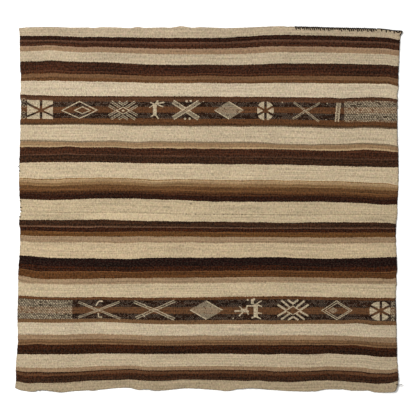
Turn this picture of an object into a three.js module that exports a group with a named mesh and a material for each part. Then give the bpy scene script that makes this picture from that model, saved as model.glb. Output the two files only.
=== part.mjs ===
import * as THREE from 'three';

// A frazada, a wool blanket of two loom widths joined edge to edge, lying face up on the floor.
// Millimetres. +X runs along the warp and its stripes, +Y from the lower hem to the upper one,
// and the underside is at z = 0 wherever it touches the floor.

const cloth = { thick: 2.4, seamGap: 0.3 };

// Mesh of each panel: equal columns along the warp, and rows at distances from the outer hem.
const grid = { columns: 58, hemRows: [0, 14, 34], rowPitch: 44, startLength: 1600, passes: 4 };

// Dark yarn overcast round the right end of the upper hem. Stitches alternate with the bites
// between them; each reaches in over both faces of the cloth.
const overcast = {
  from: 362, to: 804, pitch: 7, yarn: 1.1, gap: 0.35, stitch: 9.5, bite: 5.5, lift: 1.8, ramp: 26,
};

// The three long lines: the upper hem, the seam and the lower hem, as uneven as the loom left them.
const longLines = [
  { x: -812, upperHem: 763, seam: -9, lowerHem: -752 },
  { x: -795, upperHem: 765, seam: -9, lowerHem: -759 },
  { x: -745, upperHem: 767, seam: -11, lowerHem: -767 },
  { x: -690, upperHem: 768, seam: -12, lowerHem: -765 },
  { x: -630, upperHem: 768, seam: -12, lowerHem: -768 },
  { x: -570, upperHem: 766, seam: -11, lowerHem: -767 },
  { x: -450, upperHem: 767, seam: -12, lowerHem: -759 },
  { x: -390, upperHem: 769, seam: -12, lowerHem: -753 },
  { x: -330, upperHem: 766, seam: -13, lowerHem: -752 },
  { x: -210, upperHem: 765, seam: -16, lowerHem: -761 },
  { x: -90, upperHem: 769, seam: -18, lowerHem: -754 },
  { x: 30, upperHem: 765, seam: -20, lowerHem: -759 },
  { x: 90, upperHem: 766, seam: -20, lowerHem: -764 },
  { x: 165, upperHem: 768, seam: -21, lowerHem: -755 },
  { x: 270, upperHem: 771, seam: -22, lowerHem: -760 },
  { x: 330, upperHem: 773, seam: -22, lowerHem: -767 },
  { x: 420, upperHem: 773, seam: -22, lowerHem: -766 },
  { x: 510, upperHem: 770, seam: -21, lowerHem: -759 },
  { x: 630, upperHem: 767, seam: -21, lowerHem: -763 },
  { x: 720, upperHem: 763, seam: -22, lowerHem: -772 },
  { x: 780, upperHem: 759, seam: -23, lowerHem: -769 },
  { x: 812, upperHem: 753, seam: -24, lowerHem: -759 },
];

// The two loom ends, with the drawn-out upper right corner, the nicks at the seam
// and the rounded lower corners.
const loomEnds = [
  { y: 772, left: -800, right: 813 },
  { y: 750, left: -799, right: 812 },
  { y: 735, left: -798, right: 808 },
  { y: 700, left: -796, right: 806 },
  { y: 600, left: -793, right: 802 },
  { y: 500, left: -792, right: 799 },
  { y: 400, left: -792, right: 795 },
  { y: 300, left: -795, right: 797 },
  { y: 200, left: -800, right: 800 },
  { y: 100, left: -799, right: 798 },
  { y: 25, left: -795, right: 795 },
  { y: -10, left: -789, right: 788 },
  { y: -55, left: -799, right: 791 },
  { y: -150, left: -795, right: 789 },
  { y: -250, left: -802, right: 795 },
  { y: -350, left: -804, right: 789 },
  { y: -450, left: -804, right: 790 },
  { y: -550, left: -804, right: 794 },
  { y: -650, left: -812, right: 797 },
  { y: -720, left: -811, right: 802 },
  { y: -745, left: -811, right: 800 },
  { y: -758, left: -808, right: 795 },
  { y: -772, left: -800, right: 782 },
];

// Low swells in the cloth. Each has a straight crest with flanks that reach `left` on its -X or -Y
// side and `right` on its +X or +Y side, and its ends die away over `fade`.
const swells = [
  { at: 'upper middle', from: [-62, 900], to: [-28, 10], left: 270, right: 130, fade: 120, height: 8 },
  { at: 'upper left end', from: [-775, 760], to: [-770, 190], left: 60, right: 65, fade: 110, height: 3.5 },
  { at: 'upper right slant', from: [352, 880], to: [150, -60], left: 140, right: 62, fade: 110, height: 4 },
  { at: 'upper right end', from: [800, 800], to: [792, 120], left: 90, right: 60, fade: 130, height: 3 },
  { at: 'seam left', from: [-480, -34], to: [150, -42], left: 42, right: 46, fade: 120, height: 3 },
  { at: 'seam right', from: [400, -52], to: [860, -46], left: 40, right: 34, fade: 110, height: 4.5 },
  { at: 'seam end left', from: [-660, 90], to: [-655, -50], left: 60, right: 70, fade: 60, height: 3 },
  { at: 'lower middle', from: [-182, -60], to: [-160, -300], left: 75, right: 95, fade: 90, height: 4 },
  { at: 'lower left', from: [-606, -250], to: [-600, -620], left: 80, right: 120, fade: 110, height: 5.5 },
  { at: 'lower right end', from: [680, -70], to: [690, -740], left: 210, right: 150, fade: 150, height: 6 },
  { at: 'lower corner', from: [700, -790], to: [900, -740], left: 130, right: 130, fade: 110, height: 8 },
  { at: 'hem left', from: [-248, -560], to: [-252, -900], left: 70, right: 75, fade: 100, height: 5 },
  { at: 'hem middle', from: [165, -620], to: [162, -900], left: 110, right: 130, fade: 90, height: 4.5 },
  { at: 'hem far left', from: [-690, -660], to: [-700, -900], left: 80, right: 90, fade: 80, height: 4 },
  { at: 'hem right', from: [500, -690], to: [505, -900], left: 90, right: 80, fade: 80, height: 3.5 },
];

// Smooth curve through one column of a table, read along another column.
function through(table, along, column, at) {
  const rising = table[0][along] < table[table.length - 1][along];
  const rows = rising ? table : [...table].reverse();
  let k = rows.findIndex((row) => row[along] > at);
  if (k < 0) k = rows.length - 1;
  k = Math.max(k, 1);
  const [a, b] = [rows[k - 1], rows[k]];
  const before = rows[Math.max(k - 2, 0)];
  const after = rows[Math.min(k + 1, rows.length - 1)];
  const span = b[along] - a[along];
  const t = THREE.MathUtils.clamp((at - a[along]) / span, 0, 1);
  const slopeA = ((b[column] - before[column]) / (b[along] - before[along])) * span;
  const slopeB = ((after[column] - a[column]) / (after[along] - a[along])) * span;
  return (2 * t ** 3 - 3 * t ** 2 + 1) * a[column] + (t ** 3 - 2 * t ** 2 + t) * slopeA
    + (3 * t ** 2 - 2 * t ** 3) * b[column] + (t ** 3 - t ** 2) * slopeB;
}

// How far one swell lifts the cloth at a point.
function swellHeight(swell, x, y) {
  const [runX, runY] = [swell.to[0] - swell.from[0], swell.to[1] - swell.from[1]];
  const length = Math.hypot(runX, runY);
  const [overX, overY] = [x - swell.from[0], y - swell.from[1]];
  const along = (overX * runX + overY * runY) / length;
  const aside = (overY * runX - overX * runY) / length;
  const reach = aside > 0 ? swell.right : swell.left;
  const spent = Math.min(Math.abs(aside) / reach, 1);
  const ends = THREE.MathUtils.smoothstep(Math.min(along, length - along), 0, swell.fade);
  return swell.height * Math.cos((spent * Math.PI) / 2) ** 2 * ends;
}

function liftAt(x, y) {
  return swells.reduce((sum, swell) => sum + swellHeight(swell, x, y), 0);
}

// 0 along the plain hem, 1 where the overcast yarn goes round it, with a short ramp between.
function overcastShare(x) {
  return THREE.MathUtils.smoothstep(x, overcast.from - 2 * overcast.ramp, overcast.from - overcast.ramp);
}

// The yarn runs under the hem too, so the cloth there lies on the yarn.
function overcastLift(x, fromHem) {
  return fromHem <= grid.hemRows[1] ? overcast.lift * overcastShare(x) : 0;
}

// How far the cloth stands back from the hem line to leave room for the yarn round it.
function overcastInset(x) {
  return (overcast.yarn + overcast.gap) * overcastShare(x);
}

// Distances from the outer hem of the rows of a panel of this width.
function rowDistances(width) {
  const first = grid.hemRows[grid.hemRows.length - 1];
  const count = Math.round((width - first) / grid.rowPitch);
  const inner = Array.from({ length: count }, (_, k) => first + ((width - first) * (k + 1)) / count);
  return [...grid.hemRows, ...inner];
}

// Rows of points of one panel's underside, from the outer hem to the seam. `towardsHem` is 1 where
// the hem lies on the +Y side of the seam. Rows near the hem keep their distance from it, and the
// others share out the rest of the width.
function panelRows(hemName, towardsHem, inset, extraLift) {
  const hemZone = grid.hemRows[grid.hemRows.length - 1];
  const width = Math.abs(through(longLines, 'x', hemName, 0) - through(longLines, 'x', 'seam', 0));
  return rowDistances(width).map((distance) => {
    const fromHem = Math.min(distance, hemZone);
    const share = (distance - fromHem) / (width - hemZone);
    return Array.from({ length: grid.columns + 1 }, (_, i) => {
      let x = (i / grid.columns - 0.5) * grid.startLength;
      let y = 0;
      // The loom ends depend on y and the long lines on x, so the point settles in a few passes.
      for (let pass = 0; pass < grid.passes; pass += 1) {
        const hem = through(longLines, 'x', hemName, x) - towardsHem * inset(x);
        const seam = through(longLines, 'x', 'seam', x) + (towardsHem * cloth.seamGap) / 2;
        y = THREE.MathUtils.lerp(hem - towardsHem * fromHem, seam, share);
        x = THREE.MathUtils.lerp(
          through(loomEnds, 'y', 'left', y), through(loomEnds, 'y', 'right', y), i / grid.columns);
      }
      return { x, y, z: Math.max(liftAt(x, y), extraLift(x, distance)) };
    });
  });
}

// Closed sheet over rows of underside points, the rows running towards -Y.
function sheetGeometry(rows, thick) {
  const across = rows[0].length;
  const points = [];
  rows.flat().forEach((p) => points.push(p.x, p.y, p.z));
  rows.flat().forEach((p) => points.push(p.x, p.y, p.z + thick));
  const top = rows.length * across;
  const faces = [];
  const quad = (a, b, c, d) => faces.push(a, b, c, a, c, d);
  for (let j = 0; j + 1 < rows.length; j += 1) {
    for (let i = 0; i + 1 < across; i += 1) {
      const [a, b] = [j * across + i, j * across + i + 1];
      const [c, d] = [b + across, a + across];
      quad(a, b, c, d);
      quad(top + a, top + d, top + c, top + b);
    }
  }
  const wall = (a, b) => quad(a, top + a, top + b, b);
  const last = (rows.length - 1) * across;
  for (let i = 0; i + 1 < across; i += 1) {
    wall(i, i + 1);
    wall(last + i + 1, last + i);
  }
  for (let j = 0; j + 1 < rows.length; j += 1) {
    wall((j + 1) * across, j * across);
    wall(j * across + across - 1, (j + 1) * across + across - 1);
  }
  return closed(points, faces);
}

function closed(points, faces) {
  const geometry = new THREE.BufferGeometry();
  geometry.setAttribute('position', new THREE.Float32BufferAttribute(points, 3));
  geometry.setIndex(faces);
  geometry.computeVertexNormals();
  return geometry;
}

// A point of the panel's underside at this x, this far in from its hem.
function underside(rows, x, fromHem) {
  const i = Math.max(rows[0].findIndex((p) => p.x > x), 1);
  const onRow = (row) => {
    const t = (x - row[i - 1].x) / (row[i].x - row[i - 1].x);
    return {
      y: THREE.MathUtils.lerp(row[i - 1].y, row[i].y, t),
      z: THREE.MathUtils.lerp(row[i - 1].z, row[i].z, t),
    };
  };
  const [hem, next] = [onRow(rows[0]), onRow(rows[1])];
  const t = fromHem / grid.hemRows[1];
  return { y: hem.y - fromHem, z: THREE.MathUtils.lerp(hem.z, next.z, t) };
}

// One C-shaped section of the overcast yarn, round the hem at x.
function overcastSection(rows, x, reach) {
  const hem = underside(rows, x, 0);
  const tip = underside(rows, x, reach);
  const inner = hem.y + overcast.gap;
  const outer = inner + overcast.yarn;
  const below = overcast.gap;
  const above = cloth.thick + overcast.gap;
  return [
    [x, outer, hem.z - below - overcast.yarn],
    [x, tip.y, tip.z - below - overcast.yarn],
    [x, tip.y, tip.z - below],
    [x, inner, hem.z - below],
    [x, inner, hem.z + above],
    [x, tip.y, tip.z + above],
    [x, tip.y, tip.z + above + overcast.yarn],
    [x, outer, hem.z + above + overcast.yarn],
  ];
}

function overcastGeometry(rows) {
  const halfPitch = overcast.pitch / 2;
  const count = Math.floor((overcast.to - overcast.from) / halfPitch);
  const sections = [];
  for (let k = 0; k <= count; k += 1) {
    const reach = k % 2 === 0 ? overcast.stitch : overcast.bite;
    sections.push(overcastSection(rows, overcast.from + k * halfPitch, reach));
  }
  const points = sections.flat(2);
  const faces = [];
  const quad = (a, b, c, d) => faces.push(a, b, c, a, c, d);
  const sides = sections[0].length;
  for (let k = 0; k < count; k += 1) {
    for (let s = 0; s < sides; s += 1) {
      const [a, b] = [k * sides + s, k * sides + ((s + 1) % sides)];
      quad(a, a + sides, b + sides, b);
    }
  }
  const cap = (base, flip) => {
    [[0, 1, 2, 3], [0, 3, 4, 7], [4, 5, 6, 7]].forEach((corner) => {
      const turn = flip ? corner : [...corner].reverse();
      quad(...turn.map((c) => base + c));
    });
  };
  cap(0, true);
  cap(count * sides, false);
  return closed(points, faces);
}

const wool = new THREE.MeshStandardMaterial({ color: 0xb9a685, roughness: 0.95, metalness: 0 });
const darkYarn = new THREE.MeshStandardMaterial({ color: 0x2b1912, roughness: 0.95, metalness: 0 });

function piece(name, geometry, material) {
  const mesh = new THREE.Mesh(geometry, material.clone());
  mesh.name = name;
  return mesh;
}

const plain = () => 0;
const upperRows = panelRows('upperHem', 1, overcastInset, overcastLift);
const lowerRows = panelRows('lowerHem', -1, plain, plain).reverse();

const blanket = new THREE.Group();
blanket.add(
  piece('upper_panel', sheetGeometry(upperRows, cloth.thick), wool),
  piece('lower_panel', sheetGeometry(lowerRows, cloth.thick), wool),
  piece('edge_overcast', overcastGeometry(upperRows), darkYarn),
);

// The origin is under the middle of the blanket, on the floor.
const size = new THREE.Box3().setFromObject(blanket);
blanket.position.set(-(size.min.x + size.max.x) / 2, -(size.min.y + size.max.y) / 2, -size.min.z);

export default blanket;
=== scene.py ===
import bpy
import math
import random
from bisect import bisect_right
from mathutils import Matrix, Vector, noise


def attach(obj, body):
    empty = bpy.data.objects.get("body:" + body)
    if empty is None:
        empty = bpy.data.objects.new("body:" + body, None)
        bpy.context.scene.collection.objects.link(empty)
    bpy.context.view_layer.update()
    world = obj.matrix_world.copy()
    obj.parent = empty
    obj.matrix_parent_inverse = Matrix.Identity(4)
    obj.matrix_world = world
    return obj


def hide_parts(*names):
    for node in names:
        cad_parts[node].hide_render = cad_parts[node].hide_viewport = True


# A frazada: two striped loom widths joined at a centre seam, lying face up on a pale floor.
# The tables are in millimetres in the frame's own axes, +X along the warp, +Y to the upper hem.

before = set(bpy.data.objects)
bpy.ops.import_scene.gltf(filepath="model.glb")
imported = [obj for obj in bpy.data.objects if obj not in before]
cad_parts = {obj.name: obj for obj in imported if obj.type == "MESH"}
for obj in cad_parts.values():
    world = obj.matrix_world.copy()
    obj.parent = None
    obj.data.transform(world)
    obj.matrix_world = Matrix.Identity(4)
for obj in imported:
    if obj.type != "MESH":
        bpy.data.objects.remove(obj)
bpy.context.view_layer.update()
bpy.ops.object.select_all(action="DESELECT")
mm = 0.001
print("frame loaded,", len(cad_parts), "nodes")


# Camera straight above, light from the upper left
studio = {
    "viewMiddle": (-4.5, 7.3), "viewField": 1747.2, "cameraHeight": 5000, "sensor": 36,
    "keyPlace": (-4.4, 3.4, 6.0), "keySize": 2.0, "keyPower": 690,
    "skyStrength": 0.56, "skyColour": (1.0, 0.985, 0.96, 1), "floorSize": 9.0,
    "floorColour": (0.95, 0.95, 0.945, 1), "floorRoughness": 0.9, "floorSpecular": 0.1, "farthest": 60,
}


def setUpStudio():
    x, y = studio["viewMiddle"]
    bpy.ops.object.camera_add(location=(x * mm, y * mm, studio["cameraHeight"] * mm), rotation=(0, 0, 0))
    camera = bpy.context.object
    camera.name = "photoCamera"
    camera.data.sensor_width = studio["sensor"]
    camera.data.lens = studio["sensor"] * studio["cameraHeight"] / studio["viewField"]
    camera.data.clip_end = studio["farthest"]
    bpy.context.scene.camera = camera
    place = Vector(studio["keyPlace"])
    bpy.ops.object.light_add(type="AREA", location=place)
    key = bpy.context.object
    key.name = "softKey"
    key.rotation_euler = (-place).to_track_quat("-Z", "Y").to_euler()
    key.data.shape = "DISK"
    key.data.size = studio["keySize"]
    key.data.energy = studio["keyPower"]
    world = bpy.data.worlds.new("studioSky")
    world.use_nodes = True
    sky = world.node_tree.nodes["Background"]
    sky.inputs["Color"].default_value = studio["skyColour"]
    sky.inputs["Strength"].default_value = studio["skyStrength"]
    bpy.context.scene.world = world
    bpy.context.scene.view_settings.view_transform = "Standard"
    bpy.ops.mesh.primitive_plane_add(size=studio["floorSize"], location=(0, 0, 0))
    floor = bpy.context.object
    floor.name = "floor"
    material = bpy.data.materials.new("paleFloor")
    material.use_nodes = True
    shader = material.node_tree.nodes["Principled BSDF"]
    shader.inputs["Base Color"].default_value = studio["floorColour"]
    shader.inputs["Roughness"].default_value = studio["floorRoughness"]
    shader.inputs["Specular IOR Level"].default_value = studio["floorSpecular"]
    floor.data.materials.append(material)


setUpStudio()
print("studio ready")


# Shape of the two loom widths: the long lines, the loom ends and the low swells, as in the frame
cloth = {
    "thick": 2.4, "seamGap": 0.1, "hemZone": 34, "startLength": 1600,
    "columns": 322, "rows": 145, "crowding": 0.45, "passes": 3,
    "edgeThin": 0.62, "edgeThinReach": 5, "ripple": 0.55, "rippleFloor": 0.25, "fineShare": 0.6,
    "wobble": 1.6, "seamWelt": 0.8, "seamWeltReach": 6, "weltWidth": 0.6, "weltPull": 0.8, "seamThin": 4.4,
}

# Noise in the cloth: squeeze across the warp, size and seed
noises = {"broadRipple": (0.6, 46, 3.1), "fineRipple": (0.5, 21, 7.7), "wobble": (0.6, 48, 9)}

# Raggedness of an edge's last few yarns: how much, then share and size of the fine and the coarse noise
fray = {"hem": (1.0, 1.0, 7, 0.7, 19), "end": (1.7, 0.8, 8, 1.0, 17)}
edgeSeeds = {"upperHem": 31, "lowerHem": 57, "left": 11, "right": 21}

# How far out the edges and the drift of the stripes are read
readOut = {"along": 830, "across": 790}

# Lines along the warp: place x, then the y of the upper hem, the seam and the lower hem there
lineColumns = {"upperHem": 1, "seam": 2, "lowerHem": 3}
longLines = [
    (-812, 762, -9, -749), (-795, 764, -9, -757), (-745, 767, -11, -764), (-690, 768, -12, -758),
    (-625, 767, -12, -767), (-570, 765, -11, -762), (-450, 767, -12, -755), (-390, 766, -12, -749),
    (-340, 763, -13, -748), (-210, 765, -16, -759), (-90, 767, -18, -750), (30, 764, -20, -757),
    (80, 763, -20, -761), (165, 766, -21, -749), (270, 770, -22, -757), (330, 770, -22, -761),
    (440, 768, -22, -763), (495, 766, -21, -753), (640, 763, -21, -760), (720, 760, -22, -768),
    (780, 753, -23, -763), (812, 750, -24, -755),
]

# Loom ends: place y, then the x of the left and the right end there
endColumns = {"left": 1, "right": 2}
loomEnds = [
    (772, -798, 812), (750, -797, 811), (735, -796, 805), (700, -795, 801), (600, -793, 796),
    (500, -790, 793), (400, -790, 790), (300, -793, 791), (200, -797, 795), (100, -798, 795),
    (25, -794, 791), (-10, -793, 791), (-55, -798, 786), (-150, -793, 785), (-250, -801, 790),
    (-350, -802, 784), (-450, -805, 786), (-550, -803, 788), (-650, -811, 791), (-705, -811, 796),
    (-722, -811, 793), (-745, -811, 789), (-758, -808, 784), (-772, -800, 768),
]

# Small bumps and nicks of the hems: place along the warp, half width and rise towards +Y
hemBumps = {
    "upperHem": [(-485, 30, -3), (-301, 34, 4.5), (-165, 26, -2.5), (-118, 26, 3.5), (-68, 28, -4),
                 (346, 26, 2)],
    "lowerHem": [(-721, 6, 4.5), (-703, 6, 4.0), (-485, 28, -3), (-301, 30, -4.5), (-254, 24, 3),
                 (-276, 5, 2), (-137, 6, 2.2), (115, 26, 2.5), (432, 6, 1.8), (560, 5, 1.6),
                 (600, 44, -2.5), (670, 28, 3.5)],
}

# The same for the loom ends: place across the warp, half width and shift towards +X
endBumps = {
    "left": [(560, 26, 2), (480, 32, -3.5), (366, 30, -2.5), (172, 30, 1.5), (-8, 6, 6), (-88, 28, 3.5),
             (-163, 28, -1.5), (-742, 18, -4)],
    "right": [(518, 20, 1.5), (480, 24, -2.5), (-49, 18, -2), (-276, 28, -3), (-312, 16, 2), (-692, 22, -2)],
}

# Each swell has a straight crest between two points (x, y, x, y), flanks that reach left and right of it
# (on its -X or -Y side and its +X or +Y side), ends that die away over a fade, and a height.
swells = [
    ("upper middle", (-62, 900, -28, 10), (270, 130), 120, 8),
    ("upper left end", (-775, 760, -770, 190), (60, 65), 110, 3.5),
    ("upper right slant", (352, 880, 150, -60), (140, 62), 110, 4),
    ("upper right end", (800, 800, 792, 120), (90, 60), 130, 3),
    ("seam left", (-480, -34, 150, -42), (42, 46), 120, 3),
    ("seam right", (400, -52, 860, -46), (40, 34), 110, 4.5),
    ("seam end left", (-660, 90, -655, -50), (60, 70), 60, 3),
    ("lower middle", (-182, -60, -160, -300), (75, 95), 90, 4),
    ("lower left", (-606, -250, -600, -620), (80, 120), 110, 5.5),
    ("lower right end", (680, -70, 690, -740), (210, 150), 150, 6),
    ("lower corner", (700, -790, 900, -740), (130, 130), 110, 8),
    ("hem left", (-248, -560, -252, -900), (70, 75), 100, 5),
    ("hem middle", (165, -620, 162, -900), (110, 130), 90, 4.5),
    ("hem far left", (-690, -660, -700, -900), (80, 90), 80, 4),
    ("hem right", (500, -690, 505, -900), (90, 80), 80, 3.5),
]

# Finer puckers: short sharp ridges at the lower hem and beside the seam
puckers = [
    ("hem", (-277, -728, -279, -800), (9, 12), 24, 1.6),
    ("hem", (-250, -735, -249, -800), (8, 10), 20, 1.3),
    ("hem", (-136, -700, -138, -800), (14, 9), 30, 2.4),
    ("hem", (-62, -724, -60, -800), (10, 12), 24, 1.5),
    ("hem", (-16, -730, -17, -800), (9, 10), 22, 1.3),
    ("hem", (62, -728, 60, -800), (12, 13), 24, 1.4),
    ("hem", (-700, -730, -702, -800), (10, 12), 20, 1.4),
    ("seam", (-735, 10, -715, -24), (7, 9), 12, 1.8),
    ("seam", (-715, -24, -690, -18), (7, 8), 8, 1.6),
    ("seam", (-70, 50, -62, -36), (10, 12), 20, 1.8),
    ("seam", (-28, 46, -22, -30), (9, 9), 20, 1.2),
]

# The stripes drift across the warp: how far each line lies above its nominal place, at nine stations
driftStations = (-812, -660, -450, -210, 30, 270, 510, 750, 812)
stripeDrift = {
    726: (4, 3, -1, -5, -5, 7, 4, -4, -8),
    612: (8, 10, 7, -5, -6, 0, 0, -5, -5),
    476: (10, 4, 2, 1, 0, -2, -4, -5, -5),
    415: (2, 0, 1, 1, 0, 1, -1, 0, 0),
    351: (8, 6, 7, 3, 0, -1, -10, -11, -11),
    192: (6, 8, 7, 2, -1, -2, -8, -13, -13),
    36: (9, 3, 10, 6, -3, -4, -5, -17, -19),
    -48: (7, 5, 6, 1, -2, -5, -4, -6, -8),
    -202: (12, 0, -3, 0, 0, 2, -4, 3, 3),
    -366: (7, -1, 0, -3, 0, 3, 0, -4, -4),
    -419: (1, 0, 0, -1, -1, -3, -3, -2, -2),
    -478: (6, 3, 6, -3, -3, -3, -2, -7, -7),
    -608: (-1, 1, 3, -1, 2, 2, 1, -14, -12),
    -720: (1, -7, 4, 2, 5, -1, 3, -11, 6),
}

# Local rises and dips of the stripes: place, reach along and across the warp, and height
stripeWaves = [
    (-660, 620, 70, 130, 4), (-530, 690, 60, 120, -3), (0, 570, 90, 70, 3), (170, 600, 120, 110, -3),
    (795, 600, 60, 190, -7), (560, 475, 60, 60, -3), (690, 470, 60, 50, 3), (-310, 300, 100, 110, -5),
    (650, 290, 130, 90, 6), (-600, 250, 50, 50, 4), (720, 40, 60, 60, -4), (-340, -200, 90, 50, -4),
    (-690, -285, 100, 40, -6), (750, -285, 60, 40, -6), (620, -480, 70, 50, 5), (-330, -690, 80, 90, 5),
    (420, -640, 90, 90, -5), (640, -640, 70, 70, 5), (-770, -700, 50, 60, -6), (-720, -569, 50, 30, 4),
    (800, 735, 50, 50, -6), (806, 500, 60, 90, -8), (806, 275, 60, 50, -8), (806, 122, 70, 60, -9),
    (804, -35, 56, 60, -8), (-680, 680, 110, 40, 4.5), (-560, 286, 230, 40, -5), (320, 286, 160, 38, -7),
    (450, 354, 320, 34, 4), (-600, 354, 230, 34, 3), (-680, 118, 140, 40, -4.5), (-230, 118, 130, 40, -4),
    (-500, -88, 330, 36, -5), (-370, -140, 80, 40, -4.5), (-740, -128, 70, 46, -3.5),
    (-540, -304, 320, 44, -5), (-720, -254, 70, 30, -3.5), (-330, -256, 90, 30, -3.5),
    (700, -256, 120, 30, -4.5), (-600, -605, 260, 34, -3.5), (240, -605, 330, 34, -4),
    (-600, -677, 240, 34, -4), (320, -677, 110, 34, -4), (-90, -720, 120, 30, 4), (205, -720, 50, 30, 4),
    (-750, -722, 50, 30, -4), (350, -720, 80, 30, -4), (760, -720, 70, 30, 4), (620, -566, 90, 34, 4),
    (340, -46, 110, 30, -3.5), (804, 122, 60, 50, -5), (790, -38, 34, 40, -4), (690, 354, 150, 34, 4),
    (-775, 564, 50, 40, -4), (-760, -304, 60, 34, -6), (680, 256, 140, 30, 4), (-580, 256, 60, 30, 4),
    (-225, 108, 60, 30, -5), (-790, -86, 60, 30, -4), (420, 284, 70, 34, -4), (806, 480, 40, 50, -4),
]

seamSewing = {
    "first": -782, "last": 780, "pitch": 39, "stitch": 15, "aside": 2.6, "yarn": 0.8, "rise": 1.44,
    "seat": 0.8, "phase": -56, "dentReach": 7,
}

# One seam stitch, sunk in the cloth at both ends: share of its length and rise
stitchArch = [(-0.06, -1.6), (0.0, -0.5), (0.2, 0.35), (0.5, 0.6), (0.8, 0.35), (1.0, -0.5), (1.06, -1.6)]


def smoothStep(value, low, high):
    share = min(max((value - low) / (high - low), 0), 1)
    return share * share * (3 - 2 * share)


def smoothCurve(pairs):
    # A smooth curve through (place, value) pairs, held level outside them
    pairs = sorted(pairs)
    places = [pair[0] for pair in pairs]
    values = [pair[1] for pair in pairs]
    last = len(pairs) - 1
    slopes = []
    for k in range(last + 1):
        low, high = max(k - 1, 0), min(k + 1, last)
        slopes.append((values[high] - values[low]) / (places[high] - places[low]))

    def read(at):
        k = min(max(bisect_right(places, at), 1), last)
        span = places[k] - places[k - 1]
        t = min(max((at - places[k - 1]) / span, 0), 1)
        return ((2 * t ** 3 - 3 * t ** 2 + 1) * values[k - 1]
                + (t ** 3 - 2 * t ** 2 + t) * slopes[k - 1] * span
                + (3 * t ** 2 - 2 * t ** 3) * values[k] + (t ** 3 - t ** 2) * slopes[k] * span)

    return read


def quickCurve(read, most):
    values = [read(k) for k in range(-most, most + 2)]

    def look(at):
        k = min(max(at + most, 0), 2 * most)
        whole = int(k)
        return values[whole] + (values[whole + 1] - values[whole]) * (k - whole)

    return look


def readyRidge(ridge):
    # The ridge with its length, its direction and the box that holds it
    fromX, fromY, toX, toY = ridge[1]
    flanks, fade, height = ridge[2:]
    length = math.hypot(toX - fromX, toY - fromY)
    most = max(flanks)
    box = (min(fromX, toX) - most, max(fromX, toX) + most, min(fromY, toY) - most, max(fromY, toY) + most)
    return {"start": (fromX, fromY), "flanks": flanks, "fade": fade, "height": height, "length": length,
            "run": ((toX - fromX) / length, (toY - fromY) / length), "box": box}


ridges = [readyRidge(ridge) for ridge in swells + puckers]


def ridgeAt(ridge, x, y):
    fromX, fromY = ridge["start"]
    runX, runY = ridge["run"]
    overX, overY = x - fromX, y - fromY
    along = overX * runX + overY * runY
    if along <= 0 or along >= ridge["length"]:
        return 0
    aside = overY * runX - overX * runY
    reach = ridge["flanks"][1] if aside > 0 else ridge["flanks"][0]
    if abs(aside) >= reach:
        return 0
    ends = smoothStep(min(along, ridge["length"] - along), 0, ridge["fade"])
    return ridge["height"] * math.cos(abs(aside) / reach * math.pi / 2) ** 2 * ends


def noiseAt(x, y, size, seed):
    return noise.noise(Vector((x / size, y / size, seed)))


def clothNoise(x, y, name):
    squeeze, size, seed = noises[name]
    return noiseAt(x, y * squeeze, size, seed)


def stitchPull(x):
    # 1 where a seam stitch draws the cloth in, 0 between
    beat = (x - seamSewing["phase"]) / seamSewing["pitch"]
    off = abs(beat - round(beat)) * seamSewing["pitch"]
    return 1 - smoothStep(off, 0, seamSewing["dentReach"])


def clothHeight(x, y, fromSeam):
    lift = 0
    for ridge in ridges:
        lowX, highX, lowY, highY = ridge["box"]
        if lowX < x < highX and lowY < y < highY:
            lift += ridgeAt(ridge, x, y)
    wave = clothNoise(x, y, "broadRipple") + cloth["fineShare"] * clothNoise(x, y, "fineRipple")
    lift += cloth["ripple"] * max(wave + cloth["rippleFloor"], 0)
    reach = cloth["seamWeltReach"]
    if fromSeam < 3 * reach:
        welt = math.exp(-((fromSeam - reach) / (cloth["weltWidth"] * reach)) ** 2)
        lift += cloth["seamWelt"] * welt * (1 - cloth["weltPull"] * stitchPull(x))
    return lift


# Dark yarn overcast round the right end of the upper hem
overcast = {
    "from": 362, "to": 712, "tailTo": 802, "pitch": 8.6, "yarn": 2.2, "gap": 3.0, "lift": 3.0, "ramp": 26,
    "reach": (5.5, 11.5), "slant": 3.2, "hemRows": 14, "tailStep": 6,
}

# Its tail: the turn round the corner, the loose loop beside it, and place and reach of the catching stitches
tailCorner = [(807, 750.5, 4.4), (810.5, 748.0, 4.8), (809, 743, 5.2), (804.8, 737, 5.0), (801.2, 731.5, 4.2),
              (800, 729, 2.6)]
tailLoop = [(779, 752.5, 5.6), (785, 748, 6.2), (792, 742.5, 6.0), (797, 744, 6.2), (801, 749, 5.6)]
tailCatches = [(722, 7), (741, 9), (757, 6), (774, 8.5)]


def overcastShare(x):
    return smoothStep(x, overcast["from"] - 2 * overcast["ramp"], overcast["from"] - overcast["ramp"])


def hemShare(fromHem):
    # 1 where the overcast yarn lifts the hem, 0 further in
    return 1 - smoothStep(fromHem, overcast["hemRows"], cloth["hemZone"])


def rowPlace(share):
    # Rows crowd towards the hem and the seam
    return share - cloth["crowding"] * math.sin(2 * math.pi * share) / (2 * math.pi)


# Edges of the cloth, each with the raggedness of its last few yarns
def raggedEdge(table, columns, name, bumps, kind):
    line = smoothCurve([(row[0], row[columns[name]]) for row in table])
    amount, fine, fineSize, coarse, coarseSize = fray[kind]
    seed = edgeSeeds[name]

    def read(at):
        x, y = (at, 0) if kind == "hem" else (0, at)
        ragged = fine * noiseAt(x, y, fineSize, seed) + coarse * noiseAt(x, y, coarseSize, seed + 4)
        bump = sum(rise * (1 - smoothStep(abs(at - place), 0, half)) for place, half, rise in bumps[name])
        return line(at) + amount * ragged + bump

    return read


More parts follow.
